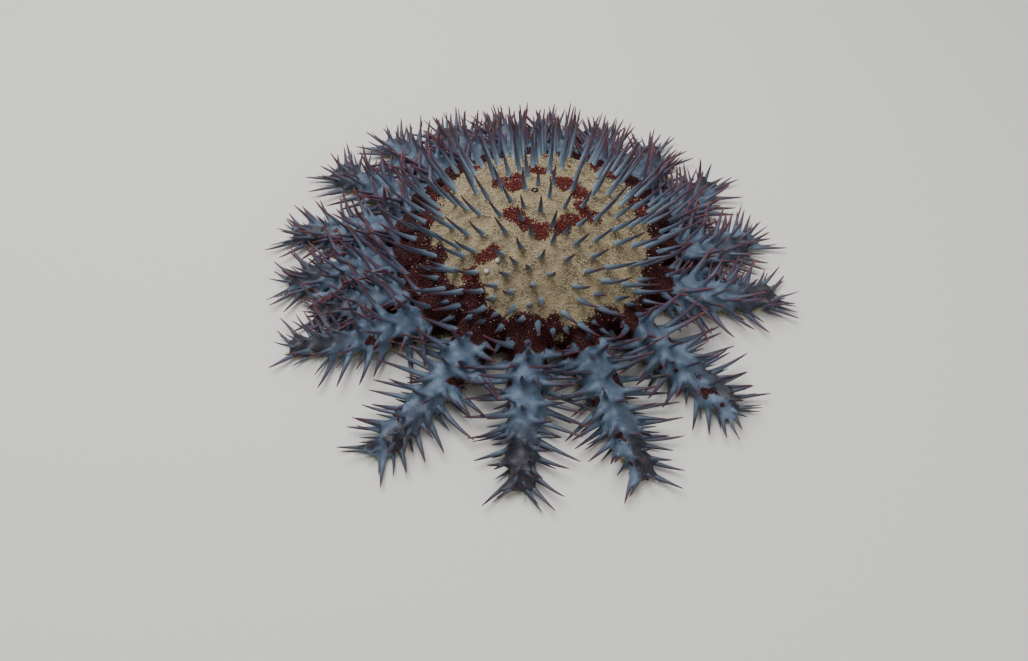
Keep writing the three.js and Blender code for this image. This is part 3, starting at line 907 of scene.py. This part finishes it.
BEAD_RINGS = [(0.75, 0.0), (1.0, 0.55), (0.62, 0.9)]
PEG_RINGS = [(0.9, 0.0), (0.85, 0.6), (0.6, 1.0)]
PATCH = 0.003  # how far one small piece's patch reaches in the map that the colours are baked by
MAP_EDGE = 0.0005
DOME_ARC = DOME_SPHERE * math.asin(DISC_RADIUS / DOME_SPHERE) + RIM_HEIGHT
LOWEST = 0.1  # how near the floor a small piece may come


def turned_shape(rings, sides, foot, top):
    """A small shape on a lathe: rings of radius and height, closed by a point at the foot and one at the top. Gives
    its points, its triangles, a flat place from 0 to 1 for each corner, and each point's share of the height."""
    radii, heights = np.array(rings, float).T
    angles = 2 * np.pi * np.arange(sides) / sides
    x = radii[:, None] * np.cos(angles)
    y = radii[:, None] * np.sin(angles)
    z = np.repeat(heights[:, None], sides, 1)
    points = np.concatenate([np.stack([x, y, z], -1).reshape(-1, 3), [[0, 0, foot], [0, 0, top]]])
    share = (points[:, 2] - foot) / (top - foot)
    number = np.arange(len(rings) * sides).reshape(-1, sides)
    number = np.vstack([np.full(sides, len(points) - 2), number, np.full(sides, len(points) - 1)])
    onward = np.roll(number, -1, axis=1)
    here, there, over, beyond = number[:-1], onward[:-1], number[1:], onward[1:]
    both = np.stack([np.stack([here, there, beyond], -1), np.stack([here, beyond, over], -1)], 2)
    kept = np.ones(both.shape[:3], bool)
    kept[0, :, 0] = kept[-1, :, 1] = False
    turn = (np.arange(sides)[:, None, None] + np.array([[0, 1, 1], [0, 1, 0]])) / sides
    faces = both[kept]
    flats = np.stack([np.broadcast_to(turn, both.shape)[kept], share[faces]], -1)
    return points, faces, flats, share


def repeated(faces, each, count):
    """The faces of one shape for each of its copies, whose points follow on from one another."""
    return (faces[None] + each * np.arange(count)[:, None, None]).reshape(-1, 3)


def skin_map(points, normals):
    """A flat place for each point on the skin, unrolled: the dome and the rim by their arc from the apex, the
    underside by its radius, and each arm as a strip of its share along and its angle around. The top of the disc fills
    the upper left quarter, its underside the upper right one, and the arms two columns of nine strips below."""
    level = np.hypot(points[:, 0], points[:, 1])
    way = points[:, :2] / np.maximum(level, 1e-6)[:, None]
    arc = DOME_SPHERE * np.arcsin(np.minimum(level, DISC_RADIUS) / DOME_SPHERE)
    arc = arc + np.where(level > DISC_RADIUS - 1, np.maximum(RIM_HEIGHT - points[:, 2], 0), 0)
    over = np.array([0.25, 0.75]) + 0.24 * way * (arc / DOME_ARC)[:, None]
    beneath = np.array([0.75, 0.75]) + 0.24 * way * (level / DISC_RADIUS)[:, None]
    arm, share, aside = nearest_arm(points)
    around = np.arctan2(points[:, 2] - FLANK_SHARE * arm_height(share), aside) / (2 * np.pi) + 0.5
    strip = np.stack([0.5 * (arm % 2) + 0.01 + 0.48 * share, 0.055 * (arm // 2) + 0.004 + 0.047 * around], 1)
    flat = np.where((normals[:, 2] < -0.3)[:, None], beneath, over)
    return np.where((level > DISC_RADIUS + 3)[:, None], strip, flat)


def add_bake_map(piece, flats, flat_places):
    """The map OFBake: each small shape is a patch at its root's place on the unrolled skin."""
    corners = flat_places[:, None, None] + PATCH * (flats[None] - 0.5)
    layer = piece.data.uv_layers.new(name="OFBake")
    layer.data.foreach_set("uv", np.clip(corners, MAP_EDGE, 1 - MAP_EDGE).astype(np.float32).ravel())


def planted(name, shape, places, ways, widths, heights, spin=0.0, skin_ways=None):
    """One mesh of many like shapes: each stands at its place along its way, with its own width, height and turn. Its
    place on the unrolled skin is found from the skin's own way out there, where that isn't the shape's."""
    points, faces, flats, share = shape
    count = len(places)
    widths, heights, spin = (np.broadcast_to(values, count) for values in (widths, heights, spin))
    side = np.cross(ways, np.array([0.36, 0.48, 0.8]))
    side /= np.linalg.norm(side, axis=1)[:, None]
    other = np.cross(ways, side)
    side, other = (
        side * np.cos(spin)[:, None] + other * np.sin(spin)[:, None],
        other * np.cos(spin)[:, None] - side * np.sin(spin)[:, None],
    )
    local = points[None] * np.stack([widths, widths, heights], 1)[:, None]
    world = places[:, None] + local[..., :1] * side[:, None] + local[..., 1:2] * other[:, None]
    world = world + local[..., 2:] * ways[:, None]
    world[..., 2] = np.maximum(world[..., 2], LOWEST)
    piece = new_piece(name, world.reshape(-1, 3), repeated(faces, len(points), count))
    set_values(piece, "along", np.tile(share, count))
    add_bake_map(piece, flats, skin_map(places, ways if skin_ways is None else skin_ways))
    return piece


def scatter(weights, spacing, tries, seed):
    """Places spread over the skin: random points on its faces, as dense as their area times a weight, of which one is
    kept in each cell of a grid. Gives the places and the ways out of the skin there."""
    draws = np.random.default_rng(seed)
    corners = skin_points[skin_faces]
    area = np.linalg.norm(np.cross(corners[:, 2] - corners[:, 0], corners[:, 3] - corners[:, 1]), axis=1) / 2
    chance_of = area * weights[skin_faces].mean(1)
    pick = draws.choice(len(skin_faces), tries, p=chance_of / chance_of.sum())
    u, v = draws.random((2, tries, 1))
    parts = ((1 - u) * (1 - v), u * (1 - v), u * v, (1 - u) * v)
    place = sum(part * corners[pick, k] for k, part in enumerate(parts))
    way = sum(part * skin_normals[skin_faces[pick, k]] for k, part in enumerate(parts))
    way /= np.linalg.norm(way, axis=1)[:, None]
    _, kept = np.unique(np.floor(place / spacing).astype(int), axis=0, return_index=True)
    kept = np.sort(kept)
    return place[kept], way[kept]


def bead_material(name, foot, top, roughness):
    """Soft wet skin or blunt lime, darker at the foot than at the top, with a little variation from bead to bead, by
    noise of 4 mm. The pore's is darker at the top instead, as painted shade in its opening."""
    material, tree, shader = new_finish(name, roughness, 1.38, 0.4)
    place = add_node(tree, "TexCoord", "Object", {})
    cloud = add_node(tree, "TexNoise", "Fac", {"Vector": place, "Scale": per_metre(4.167), "Detail": 2})
    (along,) = marks_of(tree, "along")
    height = add_node(tree, "Math", 0, {0: cloud, 1: 0.7, 2: along}, operation="MULTIPLY_ADD")
    tree.links.new(painted(tree, foot, [(top, height, 1, 0.5, 1.35)]), shader.inputs["Base Color"])
    return material


bare = (1 - rise(web, 0.05, 0.3)) * above * (z > 1.5)
on_disc = level < DISC_RADIUS + 2
at_front = y < 0
disc_red = rise(blotch_red, 0.3, 0.6) * bare * on_disc
rim_red = rise(margin_red, 0.3, 0.6) * bare * on_disc
arm_bare = bare * ~on_disc
tan_bare = (1 - 0.88 * red) * bare * on_disc
bead = turned_shape(BEAD_RINGS, 5, -0.3, 1.05)
peg = turned_shape(PEG_RINGS, 4, -0.3, 1.15)
papula_skin = bead_material("papula_skin", "301110", "672a25", 0.55)
dark_papula_skin = bead_material("dark_papula_skin", "1c0a0b", "45191b", 0.55)
lime_peg = bead_material("lime_granule", "a08c66", "e0d5b8", 0.7)
# Each kind: its shape, where it is dense, the grid's cells, how many are tried, its draws, and its radius and height
BEADS = [
    ("papulae_disc", bead, disc_red, 1.25, 22000, 41, 0.62, 1.0, papula_skin, "papulae"),
    ("papulae_margin", bead, rim_red, 1.5, 28000, 42, 0.66, 1.0, dark_papula_skin, "papulae"),
    ("papulae_front_arms", bead, arm_bare * at_front, 1.5, 24000, 43, 0.55, 0.9, dark_papula_skin, "papulae"),
    ("papulae_back_arms", bead, arm_bare * ~at_front, 1.5, 24000, 45, 0.55, 0.9, dark_papula_skin, "papulae"),
    ("granules", peg, tan_bare, 3.1, 5200, 44, 0.44, 1.0, lime_peg, "disc_skin"),
]
for name, shape, weights, spacing, tries, seed, width, height, finish, slot in BEADS:
    places, ways = scatter(weights, spacing, tries, seed)
    draws = np.random.default_rng(seed + 100)
    widths = width * draws.uniform(0.75, 1.2, len(places))
    heights = height * draws.uniform(0.7, 1.35, len(places))
    spin = draws.uniform(0, 2 * np.pi, len(places))
    piece = planted(name, shape, places, ways, widths, heights, spin)
    piece.data.materials.append(finish)

# The thorns. Each is a hard, pointed spine of lime under a thin blue-grey skin that turns red towards the point, and it
# grows out of the web of skin round its foot. It is stoutest just above its foot and has a faint keel on each side.

THORN_SIDES = 8
# Rings from the foot up: the share of the root's radius, and where along the thorn
THORN_RINGS = [(0.82, -0.12), (0.93, 0.0), (1.0, 0.1), (0.9, 0.22), (0.75, 0.38), (0.59, 0.55), (0.43, 0.72)]
THORN_RINGS += [(0.28, 0.88), (0.16, 0.97)]
THORN_BEND = 0.11
KEEL = 0.1
DISC_THORN_SLIM = 0.88
# How far a thorn is flushed with red: on the disc, and on the arms at the front and at the back of the animal
DISC_FLUSH = 0.25
FRONT_FLUSH = 0.32
BACK_FLUSH = 0.8


def thorn_mesh(chosen):
    """Bent tapers: rings round an axis that curves by a parabola, closed by a point at the tip and one at the foot. A
    ring swells by the cosine of twice the angle round it, which gives the keels."""
    root, aim = thorn_root[chosen], thorn_aim[chosen]
    length, radius = thorn_length[chosen], thorn_scale[chosen] * THORN_ROOT_RADIUS
    radius = radius * np.where(thorn_arm[chosen] < 0, DISC_THORN_SLIM, 1)
    count = len(chosen)
    side = np.cross(np.array([0.0, 0.0, 1.0]), aim)
    side /= np.linalg.norm(side, axis=1)[:, None] + 1e-9
    other = np.cross(aim, side)
    swing = np.array([sway(int(k), 61, 0) for k in chosen])[:, None]
    bow = THORN_BEND * np.array([1 + 0.7 * sway(int(k), 63, 0) for k in chosen])
    bend = (other + 0.9 * swing * side) * (bow * length)[:, None]
    points, faces, flats, _ = turned_shape(THORN_RINGS, THORN_SIDES, THORN_RINGS[0][1], 1.0)
    keel = np.abs(points[:, 0]) / np.maximum(np.hypot(points[:, 0], points[:, 1]), 1e-6)
    swell = 1 + KEEL * (2 * keel**2 - 1)
    x, y = (points[:, axis] * swell for axis in (0, 1))
    across = x[None, :, None] * side[:, None] + y[None, :, None] * other[:, None]
    t = points[None, :, 2:]
    world = root[:, None] + aim[:, None] * length[:, None, None] * t + bend[:, None] * (t**2 - t)
    world = world + across * radius[:, None, None]
    world[..., 2] = np.maximum(world[..., 2], LOWEST)
    faces = repeated(faces, len(points), count)
    return world.reshape(-1, 3), faces, flats, np.tile(points[:, 2], count), np.tile(keel**3, count), len(points)


def thorn_material():
    """Thin moist skin over a lime spine: pale blue-grey at the foot, slate along it, violet and then red towards the
    point where it is flushed, dusky at the arm tips, and clouded by noise of 6 mm."""
    material, tree, shader = new_finish("moist_thorn_skin", 0.43, 1.4, 0.5)
    place = add_node(tree, "TexCoord", "Object", {})
    clouds = {"Vector": place, "Scale": per_metre(5.556), "Detail": 3, "Roughness": 0.6}
    noise = add_node(tree, "TexNoise", "Fac", clouds)
    along, flush, keel, dusk = marks_of(tree, "along", "flush", "keel", "dusk")
    shifted = add_node(tree, "Math", 0, {0: noise, 1: 0.16, 2: along}, operation="MULTIPLY_ADD")
    ladder = add_node(tree, "ValToRGB", "Color", {"Fac": shifted})
    stops = [(0.07, "8d9ba5"), (0.24, "667786"), (0.48, "4a5666"), (0.8, "373c49")]
    elements = ladder.node.color_ramp.elements
    for k, (position, code) in enumerate(stops):
        stop = elements[k] if k < 2 else elements.new(position)
        stop.position = position
        stop.color = linear(code)
    point = painted(tree, "2c2129", [("61363a", flush, 1)])
    violet = add_node(tree, "Math", 0, {0: flush, 1: 0.75}, operation="MULTIPLY")
    red_keel = add_node(tree, "Math", 0, {0: flush, 1: 0.6}, operation="MULTIPLY")
    red_keel = add_node(tree, "Math", 0, {0: keel, 1: red_keel}, operation="MULTIPLY")
    dusky = add_node(tree, "Math", 0, {0: dusk, 1: 0.45}, operation="MULTIPLY")
    layers = [
        ("554c64", shifted, violet, 0.2, 0.7),
        (point, shifted, 1, 0.52, 1.06),
        ("99514a", shifted, flush, 0.94, 1.12),
        ("5b3138", along, red_keel, 0.4, 0.9),
        ("383a40", along, dusky, 1.0, 0.4),
    ]
    tree.links.new(painted(tree, ladder, layers), shader.inputs["Base Color"])
    return material


thorn_skin = thorn_material()
for name, chosen in (("thorns_disc", np.flatnonzero(thorn_arm < 0)), ("thorns_arms", np.flatnonzero(thorn_arm >= 0))):
    points, faces, flats, along, keel, each = thorn_mesh(chosen)
    on_disc = thorn_arm[chosen] < 0
    flush = np.where(on_disc, DISC_FLUSH, mix(FRONT_FLUSH, BACK_FLUSH, rise(thorn_root[chosen, 1], -110, -45)))
    flush = flush + 0.22 * np.array([sway(int(k), 62, 0) for k in chosen])
    dusk = np.where(on_disc, 0, rise(nearest_arm(thorn_root[chosen])[1], 0.55, 1.0))
    piece = new_piece(name, points, faces)
    set_values(piece, "along", along)
    set_values(piece, "keel", keel)
    set_values(piece, "flush", np.repeat(flush, each))
    set_values(piece, "dusk", np.repeat(dusk, each))
    add_bake_map(piece, flats, skin_map(thorn_root[chosen], thorn_aim[chosen]))
    piece.data.materials.append(thorn_skin)

# The pore and the broken thorns. The gut opens by a small pore near the top of the disc, with a pale, puckered rim, and
# a few thorns are broken short, so that the white lime in them shows. The pore is coloured near-black as painted shade
# in its opening.

PORE_RINGS = [(2.7, -0.3), (2.4, 0.6), (1.8, 0.95), (1.2, 0.7), (0.85, 0.1)]
STUB_RINGS = [(1.9, -0.5), (1.75, 1.2), (1.35, 2.4), (0.75, 2.55)]
PORE_PLACE = np.array([(-1.9, 8.3)])
STUB_PLACES = np.array([(-5.0, -29.5), (-26.8, -46.8), (-34.0, -52.0)])


def on_dome(places):
    """Points of the dome over places on the floor, and the ways out of it there."""
    level = np.hypot(places[:, 0], places[:, 1])
    points = np.column_stack([places, dome_height(level)])
    ways = points - np.array([0, 0, RIM_HEIGHT + DOME_RISE - DOME_SPHERE])
    return points, ways / np.linalg.norm(ways, axis=1)[:, None]


# The pore's near-black top colour is painted shade in its opening. The broken thorns' pale top is their own white lime.
for name, rings, top, places, foot_colour, top_tint_and_pore_shade, slot in (
    ("pore", PORE_RINGS, -0.2, PORE_PLACE, "9a8d76", "1a0f0d", "disc_skin"),
    ("broken_thorns", STUB_RINGS, 2.3, STUB_PLACES, "71828f", "b4b4ac", "thorns"),
):
    points, ways = on_dome(places)
    piece = planted(name, turned_shape(rings, 14, -0.8, top), points, ways, 1, 1)
    piece.data.materials.append(bead_material(name + "_skin", foot_colour, top_tint_and_pore_shade, 0.6))

# The tube feet and the combs. Two rows of soft tube feet with sucker ends stand in each groove of the disc and the
# arms, from the floor up into it. Blunt pegs of lime stand like a comb along both edges of each groove.

FOOT_RINGS = [(1.15, 0.0), (1.2, 0.08), (0.72, 0.2), (0.62, 0.6), (0.75, 1.0)]
COMB_RINGS = [(0.95, 0.0), (1.0, 0.25), (0.85, 0.7), (0.5, 0.96)]
FOOT_WIDTH = 0.85
COMB_WIDTH = 0.62
FOOT_PITCH = 3.4  # spacing of the disc's tube feet, and twice that of its pegs
FLOOR_GAP = np.array([0, 0, 0.3])
foot_places, foot_heights, comb_places, comb_ways, comb_heights = [], [], [], [], []
for arm, (root, _, _) in enumerate(ARMS):
    along = polar(1, root)
    left = np.array([-along[1], along[0], 0.0])
    for side in (-1, 1):
        for k, radius in enumerate(np.arange(22.0, 84.0, FOOT_PITCH)):
            foot_places.append(along * radius + left * side * (1.5 + 0.3 * sway(arm, k, 70)) + FLOOR_GAP)
            foot_heights.append(DISC_UNDERSIDE + GROOVE_DEPTH - 1.2)
            if k % 2:
                comb_places.append(along * radius + left * side * 4.6 + [0, 0, DISC_UNDERSIDE + 0.6])
                comb_ways.append(unit(left * side * 0.5 + [0, 0, -1]))
                comb_heights.append(4.2)
        for k, share in enumerate(np.linspace(0.1, 0.95, 26)):
            point, forward = arm_path(arm, share)
            out = side * np.array([-forward[1], forward[0], 0.0])
            half, high = soft_half(share), arm_height(share)
            foot_places.append(point + out * 0.12 * half + FLOOR_GAP)
            foot_heights.append(SOLE_GROOVE * high + 0.6)
            comb_places.append(point + out * 0.7 * half + [0, 0, 0.16 * high + 0.8])
            comb_ways.append(unit(out + 0.35 * forward + 0.2 * sway(arm, k, 71) * forward + [0, 0, -0.12]))
            comb_heights.append(mix(9.0, 5.5, share) * (1 + 0.15 * sway(arm, k, 72)))
foot_places, comb_places, comb_ways = np.array(foot_places), np.array(comb_places), np.array(comb_ways)
upright = np.tile([0.0, 0.0, 1.0], (len(foot_places), 1))
foot_shape = turned_shape(FOOT_RINGS, 7, -0.03, 1.05)
piece = planted("tube_feet", foot_shape, foot_places, upright, FOOT_WIDTH, foot_heights, skin_ways=-upright)
piece.data.materials.append(bead_material("tube_foot_skin", "c9bd8e", "9da183", 0.45))
comb_shape = turned_shape(COMB_RINGS, 6, -0.05, 1.0)
piece = planted("comb_pegs", comb_shape, comb_places, comb_ways, COMB_WIDTH, comb_heights)
piece.data.materials.append(bead_material("comb_peg_skin", "655b42", "9c9070", 0.55))

# The tip feet. The last tube feet of each arm are thin, soft and pale. They have no groove to stand in, and feel their
# way out over the floor from under the tip in a small fan.

TIP_FEET = 5
TIP_FOOT_RINGS = [(0.9, 0.0), (0.6, 0.25), (0.5, 0.85), (1.0, 0.94), (0.8, 1.0)]
TIP_FOOT_WIDTH = 0.5
TIP_FOOT_LENGTH = 9.5
places, ways, heights = [], [], []
for arm in range(len(ARMS)):
    point, forward = arm_path(arm, 0.96)
    left = np.array([-forward[1], forward[0], 0.0])
    for k in range(TIP_FEET):
        aside = (k - 2) / 2 + 0.3 * sway(arm, k, 73)
        places.append(point + left * 1.4 * aside + [0, 0, 1.6])
        ways.append(unit(forward + 0.9 * aside * left + [0, 0, 0.14 + 0.12 * sway(arm, k, 74)]))
        heights.append(TIP_FOOT_LENGTH * (1 + 0.3 * sway(arm, k, 75)))
tip_shape = turned_shape(TIP_FOOT_RINGS, 6, -0.05, 1.03)
piece = planted("tip_feet", tip_shape, np.array(places), np.array(ways), TIP_FOOT_WIDTH, heights)
piece.data.materials.append(bead_material("tip_foot_skin", "8d8f74", "c3c6ab", 0.4))

# The mouth ring. It is the ring of lime plates that holds the mouth open in the middle of the underside, and it is the
# CAD's own solid. The lime is bare and matt, with a grain of 2 mm in its cream colour.

mouth_finish, tree, shader = new_finish("mouth_plate_lime", 0.6, 1.5, 0.4)
place = add_node(tree, "TexCoord", "Object", {})
grain = add_node(tree, "TexNoise", "Fac", {"Vector": place, "Scale": per_metre(2), "Detail": 3})
mouth_colour = painted(tree, "8f7d58", [("c4b48a", grain, 1, 0.35, 0.65)])
tree.links.new(mouth_colour, shader.inputs["Base Color"])
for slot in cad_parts["mouth_ring"].material_slots:
    slot.material = mouth_finish

# The floor, a soft studio light and the camera. The floor is a plain sheet of matt paint, and two large square lights
# and a pale sky light the animal evenly. The camera looks down at the photo's angle, with the photo's framing.

bpy.ops.mesh.primitive_plane_add(size=6)
floor = bpy.context.object
floor.name = "floor"
floor_paint, tree, shader = new_finish("matt_floor_paint", 0.9, 1.45)
shader.inputs["Base Color"].default_value = linear("d6d4cf")
floor.data.materials.append(floor_paint)

world = bpy.data.worlds.new("studio")
bpy.context.scene.world = world
world.use_nodes = True
sky = world.node_tree.nodes["Background"]
sky.inputs["Color"].default_value = linear("f2f4f7")
sky.inputs["Strength"].default_value = 0.42


def soft_light(name, place, size, power, target=(0, 0, 0.03)):
    """A square area light at a place, turned to face a target."""
    light = bpy.data.lights.new(name, "AREA")
    light.size = size
    light.energy = power
    lamp = bpy.data.objects.new(name, light)
    lamp.location = place
    way = np.array(target) - np.array(place)
    lamp.rotation_euler = (math.atan2(math.hypot(way[0], way[1]), -way[2]), 0, math.atan2(way[0], -way[1]) + math.pi)
    bpy.context.scene.collection.objects.link(lamp)


soft_light("key", (-0.35, 0.3, 1.3), 1.1, 26)
soft_light("fill", (0.9, -0.9, 0.8), 1.0, 5)

CAMERA_RISE = 50
CAMERA_DISTANCE = 0.72
CAMERA_FIELD = 55
CAMERA_TARGET = (np.array([-16.3, -36.3, -30.5]) + DISC_CENTRE) * MM
camera_data = bpy.data.cameras.new("camera")
camera_data.sensor_width = 36
camera_data.lens = camera_data.sensor_width / 2 / math.tan(math.radians(CAMERA_FIELD / 2))
camera = bpy.data.objects.new("camera", camera_data)
tilt = math.radians(CAMERA_RISE)
camera.location = CAMERA_TARGET + CAMERA_DISTANCE * np.array([0, -math.cos(tilt), math.sin(tilt)])
camera.rotation_euler = (math.pi / 2 - tilt, 0, 0)
bpy.context.scene.collection.objects.link(camera)
bpy.context.scene.camera = camera
